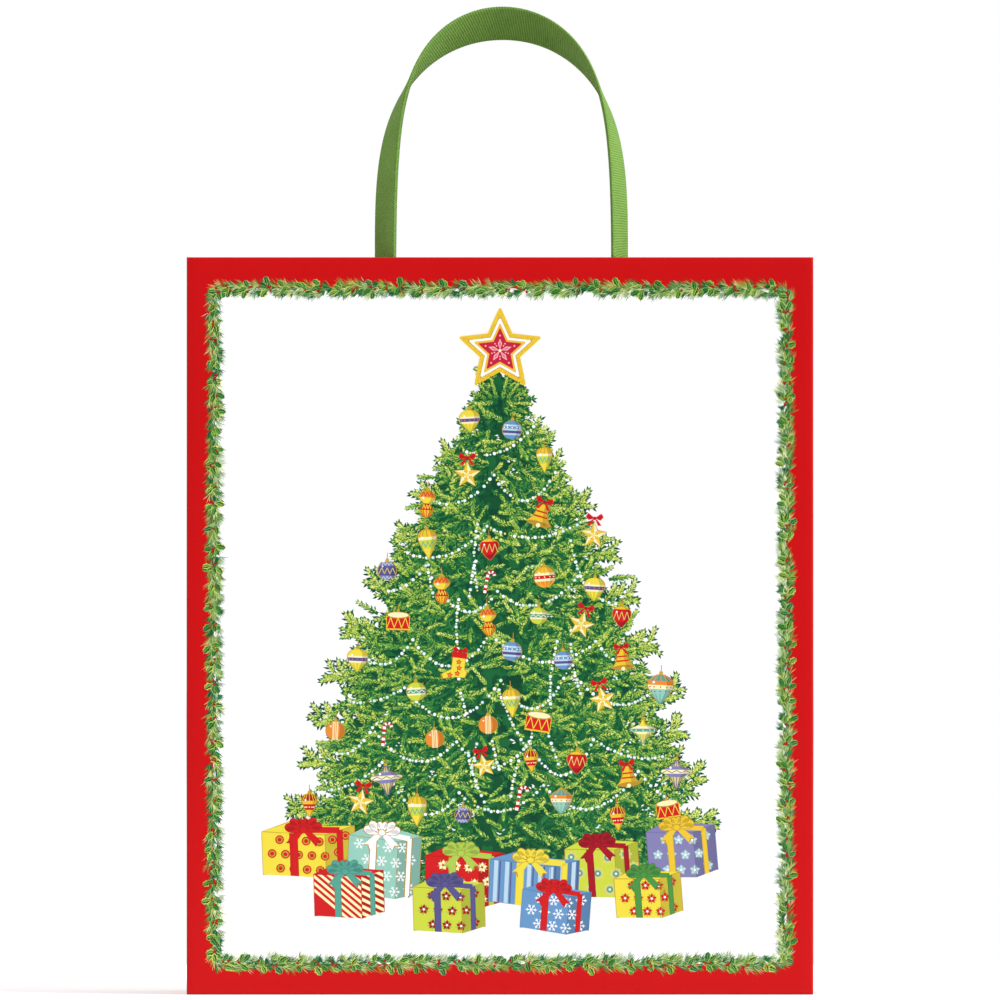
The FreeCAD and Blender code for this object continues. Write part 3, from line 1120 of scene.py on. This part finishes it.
GLASS = [
    "round 12 30:gold:ribs:orange 12:cream 16:red:dots:cream 12:cream 30:orange:ribs:gold",
    "onion 15 30:yellow 8:cream 14:plum:dots:pink 8:cream 40:yellow:ribs:olive",
    "round 11 22:sky 10:ice 12:sky:dots:white 10:ice 14:plum 10:ice 22:sky",
    "top 17 22:straw:ribs:plum 12:violet 14:cream:zig:plum 12:violet 40:straw:ribs:plum",
    "spindle 15 25:orange:zig:red 22:yellow 25:red:zig:yellow 28:gold:ribs:red",
    "round 11 30:chartreuse 10:cream 20:teal:zig:cream 10:cream 30:chartreuse",
    "onion 16 22:teal:ribs:orange 14:orange 14:cream:dots:red 16:aqua:dots:crimson 34:aqua:ribs:teal",
    "onion 13 14:gold 60:red:zig:straw 26:crimson",
    "drop 16 25:gold:ribs:brass 10:cream 30:chartreuse:zig:teal 35:yellow",
    "round 10.5 24:violet:zig:ice 52:plum:zig:straw 24:violet:zig:ice",
    "top 16 26:yellow 10:cream 12:teal:dots:white 10:cream 42:yellow:ribs:teal",
    "drop 13 30:crimson:ribs:gold 15:gold 25:red:dots:cream 30:gold",
    "round 11 100:orange:ribs:cream",
]


def bell(page, lift):
    """A bell of 11 mm, swung to one side."""
    rows = [(-(0.22 + 0.14 * t + 0.3 * t**4) * 11, -t * 11) for t in (k / 8 for k in range(9))]
    for grow, shade in ((0.5, "brass"), (0.0, "gold")):
        outline = [(x - grow, z) for x, z in rows] + [(grow - x, z) for x, z in reversed(rows)]
        page.shape(outline, shade, lift)
        lift += 1
    page.shape([(-x * 0.35, z) for x, z in rows] + [(-x, z) for x, z in reversed(rows)], "gold-", lift)
    for x, z in (rows[3], rows[5]):
        page.line(x, z, -x, z, 0.9, "red", lift + 1)
    page.disc(0, -11, 6.8, "brass", lift, 14, 0.22)
    page.disc(0, -11.8, 1.3, "cream", lift + 1, 8)
    bow(page, 0, 1.5, 4.4, "red", lift + 2)


def drum(page, lift):
    hook(page, 0, 2.6, lift)
    page.patch([(-7.7, -9.8), (7.7, -9.8), (7.7, 0), (-7.7, 0)], "gold", lift)
    page.patch([(-7.3, -8.8), (7.3, -8.8), (7.3, -1.2), (-7.3, -1.2)], "red", lift + 1)
    for k in range(6):
        flip = 3.4 * (-1) ** k
        page.line(-7.2 + 2.4 * k, -5 - flip, -4.8 + 2.4 * k, -5 + flip, 0.5, "yellow", lift + 2)
    page.disc(0, 0, 7.7, "brass", lift + 2, 16, 0.3)
    page.disc(0, 0.1, 6.8, "cream", lift + 3, 16, 0.26)


def cane(page, lift):
    """A striped candy cane, with a bow."""
    path = [(0.0, -1.7 * k) for k in range(7, 0, -1)]
    path += [(2.1 - 2.1 * cos(pi * k / 6), 2.1 * sin(pi * k / 6)) for k in range(7)]
    for k, ((ax, az), (bx, bz)) in enumerate(zip(path, path[1:])):
        page.line(ax, az, bx, bz, 2.5, "crimson", lift)
        page.line(ax, az, bx, bz, 1.9, "red" if k % 2 else "white", lift + 1)
    bow(page, 0, -5, 3.2, "green", lift + 2)


def stocking(page, lift):
    outline = [(-3.6, 0), (3.6, 0), (3.6, -7.6), (5.2, -9.6), (4.4, -12.4), (-2, -12.8), (-7.6, -14.4),
               (-8.8, -12), (-3.6, -8.6)]
    page.shape([(x * 1.1, z * 1.05 + 0.3) for x, z in outline], "brass", lift)
    page.shape(outline, "yellow", lift + 1)
    page.patch([(-4.3, -1.7), (4.3, -1.7), (4.3, 1.5), (-4.3, 1.5)], "red", lift + 2)
    for x, z in ((0.0, -4.0), (0.6, -7.4), (0.0, -10.6), (-4.2, -12.0)):
        star(page, x, z, 1.3, lift + 2, "red", "red")
    bow(page, 0, 2.4, 3.8, "red", lift + 4)


def hung_star(page, lift):
    bow(page, 0, 5.0, 4.4, "red", lift)
    star(page, 0, -4.8, 7.6, lift + 1)


NOVELTIES = [hung_star, bell, hung_star, cane, drum, hung_star, stocking, bell, hung_star, cane, drum]
ORNAMENT_GAP = 18.0


def hang_ornaments(page, rng):
    """Ornaments in staggered rows down the tree."""
    glass = GLASS * 5
    rng.shuffle(glass)
    hung, z, row = [], 313.0, 0
    while z > 90:
        reach = max(1.0, half_width_at(z - 8) * 0.96 - 4)
        count = max(1, round(2 * reach / 27.0))
        for k in range(count):
            share = (k + 0.5 + (0.2 if row % 2 else -0.2) * (count > 1)) / count
            spot = (-reach + 2 * reach * share + rng.uniform(-3.5, 3.5), z + rng.uniform(-6, 6))
            if any(dist(spot, other) < ORNAMENT_GAP for other in hung):
                continue
            number = len(hung)
            tilt = 16 if number % 3 == 2 else 5
            page.put(*spot, rng.uniform(-tilt, tilt), rng.uniform(0.82, 1.0))
            lift = ORNAMENT_LAYER + (number % 2) * 7
            if number % 3 == 2:
                NOVELTIES[(number // 3) % len(NOVELTIES)](page, lift)
            else:
                profile, height, *bands = glass[number % len(glass)].split()
                turned(page, float(height), profile, bands, lift)
            hung.append(spot)
        z -= rng.uniform(19.5, 22.0)
        row += 1


STAR_CENTRE = 349.3
STAR_RINGS = [(23.0, "gold"), (18.0, "brass"), (17.4, "white"), (14.5, "amber"), (12.0, "ruby")]
STAR_NOTCH = 0.5
STAR_GLITTER = ("brass", "yellow", "orange", "yellow")


def paint_star(page, rng):
    """The tree-top star: gold, white and orange outlines round a red middle with a small flower."""
    page.put(0, STAR_CENTRE)
    arms = [radians(90 - 72 * k) for k in range(5)]
    notches = [a - pi / 5 for a in arms]
    for level, (r, shade) in enumerate(STAR_RINGS):
        outline = []
        for a, notch in zip(arms, notches):
            outline += [(r * cos(a + d), r * sin(a + d)) for d in (0.025, -0.025)]
            outline.append((r * STAR_NOTCH * cos(notch), r * STAR_NOTCH * sin(notch)))
        page.shape(outline, shade, STAR_LAYER + level)
    for k in range(620):
        arm = rng.randrange(5)
        a, b = arms[arm], notches[arm - rng.randrange(2)]
        t, r = rng.random(), rng.uniform(18.2, 21.8)
        x = r * (cos(a) * (1 - t) + STAR_NOTCH * cos(b) * t)
        z = r * (sin(a) * (1 - t) + STAR_NOTCH * sin(b) * t)
        page.disc(x, z, 0.2, STAR_GLITTER[k % 4], STAR_LAYER + 1.6 + k % 3 * 0.6, 5)
    flower = STAR_LAYER + 10
    for a in arms:
        page.needle(0.5 * cos(a), 0.5 * sin(a), a, 6.0, 2.2, "blush", flower)
        page.needle(1.2 * cos(a), 1.2 * sin(a), a, 4.4, 1.2, "pink", flower + 1)
        page.disc(8.2 * cos(a), 8.2 * sin(a), 0.5, "blush", flower, 6)
    for notch in notches:
        for r in (3.2, 4.6):
            page.disc(r * cos(notch), r * sin(notch), 0.42, "blush", flower, 6)
    page.disc(0, 0, 0.9, "cream", flower + 2, 8)


# Each wrapping: paper, pattern and its shade, ribbon
WRAPPINGS = """
yellow dot red red, aqua flake white white, red flower cream lime, sky stripe ice yellow,
chartreuse ring straw crimson, violet flower ice gold, red slash cream teal, chartreuse flower crimson plum,
sky flake white red, yellow flower red green
"""
# How many, reach, foot, width, height
GIFT_RANKS = [(6, 101.0, 46.0, 43.0, 26.0), (4, 78.0, 32.0, 36.0, 23.0)]
GIFT_LAYERS = 23


MOTIF_RINGS = {
    "dot": ((2.5, ""), (1.7, "olive"), (1.2, "")),
    "ring": ((2.9, ""), (1.9, "teal"), (0.7, "cream")),
}


def motif(page, kind, x, z, shade, lift):
    for level, (r, tone) in enumerate(MOTIF_RINGS.get(kind, ())):
        page.disc(x, z, r, tone or shade, lift + level, 10)
    if kind == "ring":
        for k in range(8):
            page.disc(x + 3.0 * cos(k * 0.785), z + 3.0 * sin(k * 0.785), 0.6, shade, lift, 5)
    elif kind == "flower":
        for k in range(5):
            page.needle(x, z, k * 1.257 + 0.2, 2.9, 1.9, shade, lift)
            page.needle(x, z, k * 1.257 + 0.83, 3.3, 0.8, "leaf" if shade != "cream" else "straw", lift - 1)
        page.disc(x, z, 0.7, "white" if shade != "cream" else "red", lift + 1, 6)
    elif kind == "flake":
        for k in range(6):
            a = k * pi / 3
            page.line(x, z, x + 3.1 * cos(a), z + 3.1 * sin(a), 0.4, shade, lift)
            for b in (-0.7, 0.7):
                bx, bz = x + 1.6 * cos(a), z + 1.6 * sin(a)
                page.line(bx, bz, bx + 1.1 * cos(a + b), bz + 1.1 * sin(a + b), 0.35, shade, lift)


class Gift:
    """A wrapped box seen a little from its corner, with its lid in view, a ribbon round it and a bow."""

    def __init__(self, page, width, height, wrap, pattern, accent, ribbon, lift):
        self.page, self.width, self.height, self.lift = page, width, height, lift
        self.left, self.right = -width / 2, width / 2
        self.corner = self.left + width * 0.68
        self.wrap_lid(wrap, "brass" if wrap in ("yellow", "chartreuse") or ribbon == "white" else wrap + "-")
        if pattern == "stripe":
            self.stripes(accent)
        elif pattern == "slash":
            self.slashes(accent)
        else:
            self.motifs(pattern, accent)
        self.tie(ribbon)

    def foot(self, x):
        slope = self.width * 0.06
        if x < self.corner:
            return slope * (self.corner - x) / (self.corner - self.left)
        return 1.5 * slope * (x - self.corner) / (self.right - self.corner)

    def at(self, x, up):
        return x, self.foot(x) + up

    def panel(self, a, b, low, high, shade, up):
        corners = [self.at(a, low), self.at(b, low), self.at(b, high), self.at(a, high)]
        self.page.patch(corners, shade, self.lift + up)

    def wrap_lid(self, wrap, edge):
        """The two sides and the lid, with the edges between them."""
        page, lift, top = self.page, self.lift, self.height
        lid = top * 1.2
        back_left = (self.left + self.width * 0.3, lid + self.width * 0.06)
        back_right = (self.right - self.width * 0.3, lid)
        top_left, corner, top_right = self.at(self.left, top), (self.corner, top), self.at(self.right, top)
        self.panel(self.left - 0.3, self.right + 0.3, -0.3, top, edge, 0)
        self.panel(self.left, self.corner, 0, top, wrap, 1)
        self.panel(self.corner, self.right, 0, top, wrap + "-", 1)
        page.patch([(self.left - 0.3, top_left[1]), corner, back_right, (back_left[0], back_left[1] + 0.4)],
                   edge, lift)
        page.patch([top_left, corner, back_right, back_left], wrap, lift + 1)
        page.patch([corner, top_right, back_right, back_right], wrap, lift + 1)
        for a, b in ((top_left, corner), (corner, top_right), ((self.corner, 0), corner)):
            page.line(*a, *b, 0.35, edge, lift + 3)

    def stripes(self, accent):
        for k in range(8):
            a = self.left + self.width * (k + 0.35) / 8
            self.panel(a, a + self.width * 0.045, 0.3, self.height - 0.3, accent, 2)
            self.panel(a + self.width * 0.06, a + self.width * 0.075, 0.3, self.height - 0.3, "plum", 2)

    def slashes(self, accent):
        for a, b in ((self.left, self.corner), (self.corner, self.right)):
            cells = steps(a, b, 1.4)
            for k in range(-2, 7):
                for p, q in zip(cells, cells[1:]):
                    cell = [(x, min(self.height, max(0.0, self.height * k / 6 + (b - x) * 0.8 + up)))
                            for x, up in ((p, 0.0), (q, 0.0), (q, 1.9), (p, 1.9))]
                    if abs(cell[3][1] - cell[0][1]) + abs(cell[2][1] - cell[1][1]) > 0.2:
                        self.page.shape([self.at(*point) for point in cell], accent, self.lift + 2)

    def motifs(self, pattern, accent):
        pitch = 9.4 if pattern == "ring" else 7.6
        rows, columns = max(2, round(self.height / pitch)), max(3, round(self.width / pitch))
        for r in range(rows):
            for c in range(columns):
                x = self.left + self.width * (c + 0.5 + (0.22 if r % 2 else -0.18)) / columns
                if self.left + 2.6 < x < self.right - 2.6:
                    place = self.at(x, self.height * (r + 0.5) / rows)
                    motif(self.page, pattern, *place, accent, self.lift + 2)

    def tie(self, ribbon):
        """The ribbon up both sides and over the lid, and the bow on top."""
        band = max(3.0, self.width * 0.08)
        trim, under = (0.6, "brass") if ribbon == "white" else (0.3, ribbon + "-")
        middles = (self.left + self.corner) / 2, (self.corner + self.right) / 2
        for middle, half in zip(middles, (band / 2, band * 0.35)):
            self.panel(middle - half - trim, middle + half + trim, 0, self.height, under, 5)
            self.panel(middle - half, middle + half, 0, self.height, ribbon, 6)
        top_x, top_z = self.left + self.width * 0.45, self.height * 1.14
        for middle in middles:
            self.page.line(*self.at(middle, self.height), top_x, top_z, band * 0.85, ribbon, self.lift + 6)
        full_bow(self.page, top_x, top_z, min(10.0, self.width * 0.26), ribbon, self.lift + 7)


def paint_gifts(page, rng):
    """Two ranks of wrapped gifts in a shallow arc under the fir."""
    papers = iter(WRAPPINGS.split(","))
    for rank, (count, reach, foot, width, height) in enumerate(GIFT_RANKS):
        for k in range(count):
            across = 2 * k / (count - 1) - 1
            x, z = reach * across + rng.uniform(-4, 4), foot + (17 - 8 * rank) * across**2
            size = width * rng.uniform(0.82, 1.18), height * rng.uniform(0.85, 1.2)
            page.put(x, z, rng.uniform(-5, 5))
            Gift(page, *size, *next(papers).split(), GIFT_LAYER + (2 * rank + k % 2) * GIFT_LAYERS)


# Each pair of loops: the way it points, its length and its half width
BOW_LOOPS = [(8, 1.0, 0.3), (38, 0.9, 0.27), (70, 0.66, 0.2)]
BOW_TAIL = [(0.0, 0.0), (0.3, -0.05), (0.95, -0.66), (0.7, -0.66), (0.62, -0.92), (0.08, -0.22)]
BOW_DRAWN = ((0.045, 0), (0.0, 1))


def full_bow(page, x, z, size, shade, lift):
    """A full bow: ribbon loops in pairs, each open at its end, with two notched tails and a knot."""
    edge = "brass" if shade in ("white", "yellow", "gold") else shade + "-"

    def teardrop(turn, first, last, wide, lean):
        c, s = cos(radians(turn)) * size, sin(radians(turn)) * size * 0.9
        points = []
        for b in around(14):
            share = 0.5 - 0.5 * cos(b)
            along = first + (last - first) * share
            over = wide * sin(b) * max(0.05, share) ** 0.45 + lean * share
            points.append((x + c * along - s * over, z + s * along + c * over))
        return points

    for side in (-1, 1):
        for grow, level in BOW_DRAWN:
            page.shape([(x + side * size * (px + grow * (px > 0.2)), z + size * (pz - grow * (px > 0.5)))
                        for px, pz in BOW_TAIL], (edge, shade)[level], lift + level)
    for order, (rise, long, wide) in enumerate(BOW_LOOPS):
        level = lift + 2 + 3 * order
        for turn, lean in ((rise, 0.06), (180 - rise, -0.06)):
            page.shape(teardrop(turn, -0.04, long + 0.045, wide + 0.045, lean), edge, level)
            page.shape(teardrop(turn, 0.0, long, wide, lean), shade, level + 1)
            hollow = teardrop(turn, long * 0.42, long * 0.93, wide * 0.52, -lean * 0.6)
            page.shape(hollow, shade + "-", level + 2)
            page.shape(teardrop(turn, long * 0.12, long * 0.4, wide * 0.16, 0.0), edge, level + 2)
    for grow, level in BOW_DRAWN:
        page.shape(ring(x, z, size * (0.19 + grow), 8, 0.85, 0.39), (edge, shade)[level], lift + 12 + level)


CORNER_ROUND = 4.5


def border_path(distance):
    """A point of the rounded rectangle that the garland follows, with its heading."""
    half, tall = FIELD_HALF_WIDTH, (FIELD_TOP - FIELD_FOOT) / 2
    arc = pi / 2 * CORNER_ROUND
    for quarter, (reach, rise) in enumerate(((half, tall), (tall, half)) * 2):
        run = 2 * (reach - CORNER_ROUND)
        if distance <= run + arc:
            break
        distance -= run + arc
    if distance <= run:
        x, z, turn = distance - run / 2, rise, 0.0
    else:
        turn = -(distance - run) / CORNER_ROUND
        x = run / 2 - CORNER_ROUND * sin(turn)
        z = rise - CORNER_ROUND * (1 - cos(turn))
    for _ in range(quarter):
        x, z = z, -x
    return x, z + FIELD_FOOT + tall, turn - quarter * pi / 2


def holly(page, x, z, angle, length, shade, light, lift):
    """A broad holly leaf with spines, a paler rim and a vein."""
    side = [(0.0, 0.0), (0.12, 0.2), (0.3, 0.22), (0.45, 0.4), (0.6, 0.26), (0.78, 0.3), (1.0, 0.0)]
    c, s = cos(angle) * length, sin(angle) * length

    def leaf(grow, flip):
        return [(x + c * px - s * pz * grow * flip, z + s * px + c * pz * grow * flip) for px, pz in side]

    page.shape(leaf(1.0, 1) + leaf(1.0, -1)[-2:0:-1], light, lift)
    page.shape(leaf(0.66, 1) + leaf(0.66, -1)[-2:0:-1], shade, lift + 1)
    page.shape(leaf(0.6, 1), "deep", lift + 2)
    page.line(x, z, x + c * 0.85, z + s * 0.85, 0.2, light, lift + 3)


SPRAYS = [  # shades, how many needles, length, width, how far off the middle, layer
    (("deep", "forest", "pine", "deep"), 6, 4.7, 0.75, 2.4, 0),
    (("forest", "moss", "deep", "green"), 7, 5.2, 0.38, 2.8, 6),
    (("moss", "sage", "olive", "deep"), 7, 5.5, 0.31, 3.0, 12),
    (("deep", "pale", "frost", "leaf"), 6, 5.4, 0.26, 2.7, 18),
]
HOLLY_SHADES = (("pine", "lime"), ("forest", "leaf"), ("green", "tip"), ("pine", "lime"), ("forest", "sage"))


def paint_garland(page, rng):
    """Fir sprays, holly leaves and berries all round the white field."""
    total = 4 * (FIELD_HALF_WIDTH - CORNER_ROUND) + 2 * (FIELD_TOP - FIELD_FOOT - 2 * CORNER_ROUND)
    total += 2 * pi * CORNER_ROUND
    steps_round = int(total / 1.7)
    for i in range(steps_round):
        x, z, heading = border_path(total * i / steps_round)
        nx, nz = -sin(heading), cos(heading)
        for shades, count, length, width, spread, layer in SPRAYS:
            if layer > 6 and sin(i * 0.31) + rng.uniform(-0.5, 0.5) < -0.6:
                continue
            off = rng.uniform(-spread, 0.75 * spread)
            aim = heading + pi - off * (0.24 if off < 0 else 0.12) + rng.uniform(-0.22, 0.22)
            for k in range(count):
                turn = aim + (k / (count - 1) - 0.5) * 1.3
                page.needle(x + nx * off, z + nz * off, turn, length * rng.uniform(0.7, 1.15), width,
                            rng.choice(shades), layer + (i + k) % 6)
    distance = 3.0
    while distance < total:
        x, z, heading = border_path(distance)
        for k in range(rng.randrange(2, 5)):
            aim = heading + pi + rng.choice([-1, 1]) * rng.uniform(0.25, 1.5)
            shade, light = rng.choice(HOLLY_SHADES)
            holly(page, x + rng.uniform(-1.6, 1.6), z + rng.uniform(-1.6, 1.6), aim, rng.uniform(4.2, 5.8),
                  shade, light, 25 + 4 * k)
        for k in range(rng.randrange(0, 3)):
            page.line(x, z, x + rng.uniform(-3, 3), z + rng.uniform(-3, 3), 0.45, "wine", 41 + k)
        for k in range(rng.randrange(0, 4)):
            bx, bz = x + rng.uniform(-2, 2), z + rng.uniform(-2, 2)
            page.disc(bx, bz, 0.75, "wine", 43 + 2 * k, 7)
            page.disc(bx - 0.12, bz + 0.12, 0.4, "red", 44 + 2 * k, 6)
        distance += rng.uniform(8.0, 12.0)


PAINTERS = {  # what paints each part of the print, and its seed
    "garland": (paint_garland, 11), "tree": (paint_tree, 21), "sprigs": (paint_sprigs, 22),
    "beads": (hang_beads, 31), "ornaments": (hang_ornaments, 43), "star": (paint_star, 5),
    "gifts": (paint_gifts, 8),
}


def make_prints():
    """Both printed walls wear the same design."""
    for name, (paint, seed) in PAINTERS.items():
        page = Print()
        paint(page, random.Random(seed))
        for end in INWARDS:
            page.build(f"{end}_print_{name}", end)


def declare_cloth():
    """Gathers the names of the pieces that are folded, sewn or printed on each panel, and does nothing more
    with them.
    """
    for end in INWARDS:
        worn = [f"{end}_hem_fold", f"{end}_bottom_binding"] + [f"{end}_print_{name}" for name in PAINTERS]
        for hand in ("left", "right"):
            worn += [f"{end}_{hand}_{kind}" for kind in ("strap_patch", "box_stitching", "corner_binding")]


# ================================================================ camera, light and floor
def aim(thing, towards):
    thing.rotation_mode = "QUATERNION"
    thing.rotation_quaternion = Vector(towards).to_track_quat("-Z", "Y")


def make_camera():
    """Square on to the front panel, from far away, so that its edges stay parallel."""
    width = 2 * HALF_WIDTH / VIEW_SHARE
    data = bpy.data.cameras.new("camera")
    data.lens = LENS
    data.sensor_width = SENSOR
    camera = stand("camera", data)
    distance = width * LENS / SENSOR
    camera.location = Vector((0.0, -HALF_DEPTH - distance, width / 2 - VIEW_MARGIN)) * MM
    data.clip_end = 3 * distance * MM
    aim(camera, (0, 1, 0))
    bpy.context.scene.camera = camera


KEY_FROM = (0.75, -0.55, 0.54)
KEY_STRENGTH = 2.84
KEY_SPREAD = 22.0  # degrees, which sets how soft its shadows are
WORLD_LIGHT = 0.80
WORLD_DIP = 0.80  # how much darker the room is behind the camera
FLOOR_REACH = 900.0
FLOOR_GLOW = 0.41  # the floor is a light table, so that it stays white


def make_light():
    data = bpy.data.lights.new("key", "SUN")
    data.energy = KEY_STRENGTH
    data.angle = radians(KEY_SPREAD)
    aim(stand("key", data), [-c for c in KEY_FROM])
    world = bpy.data.worlds.new("studio")
    bpy.context.scene.world = world
    graph = Graph(world, "Background")
    place = graph.node("TexCoord", {})["Generated"]
    facing = graph.node("VectorMath", {0: place, 1: (0, -1, 0)}, operation="DOT_PRODUCT")["Value"]
    clamped = graph.node("Clamp", {0: facing})[0]
    power = graph.node("Math", {0: clamped, 1: 4.0}, operation="POWER", use_clamp=True)[0]
    level = graph.spread(power, WORLD_LIGHT, WORLD_LIGHT * (1 - WORLD_DIP))
    seen = graph.node("LightPath", {})["Is Camera Ray"]
    graph.give({
        "Strength": graph.node("Mix", {"Factor": seen, "A": level, "B": 1.0})[0],
        "Color": (1, 1, 1, 1),
    })


def make_floor():
    graph = new_graph("floor_paint")
    grain = graph.noise(graph.place(), 30.0)
    seen = graph.node("LightPath", {})["Is Camera Ray"]
    graph.give({
        "Base Color": graph.ramp(grain, [0.79] * 3, [0.81] * 3),
        "Emission Color": (1, 1, 1, 1),
        "Emission Strength": graph.times(seen, FLOOR_GLOW),
        "Roughness": 0.9,
    })
    corners = [(x * FLOOR_REACH, y * FLOOR_REACH, -0.2) for x, y in ((-1, -1), (1, -1), (1, 1), (-1, 1))]
    filled("floor", corners, [(0, 1, 2, 3)], [0], [graph.owner], smooth=False)


# ================================================================ everything in its place
make_camera()
make_light()
make_floor()
bpy.context.scene.view_settings.view_transform = "Standard"
for wall_side, inwards in INWARDS.items():
    make_wall(wall_side)
    make_strap(wall_side)
    for hand in ("left", "right"):
        make_patch(wall_side, hand)
        make_box_stitches(wall_side, hand)
        make_binding(f"{wall_side}_{hand}_corner_seam", 2, (0, inwards, 0))
    make_binding(f"{wall_side}_bottom_seam", 0, (0, 0, 1))
make_prints()
for gusset_side in ("left", "right"):
    make_gusset(gusset_side)
    make_binding(f"{gusset_side}_bottom_seam", 1, (0, 0, 1))
for hem_side in ("front", "back", "left", "right"):
    make_hem(hem_side)
make_base_sheet()
declare_cloth()

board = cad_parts["base_board"]
board.data.materials.clear()
board.data.materials.append(MATERIALS["card"])
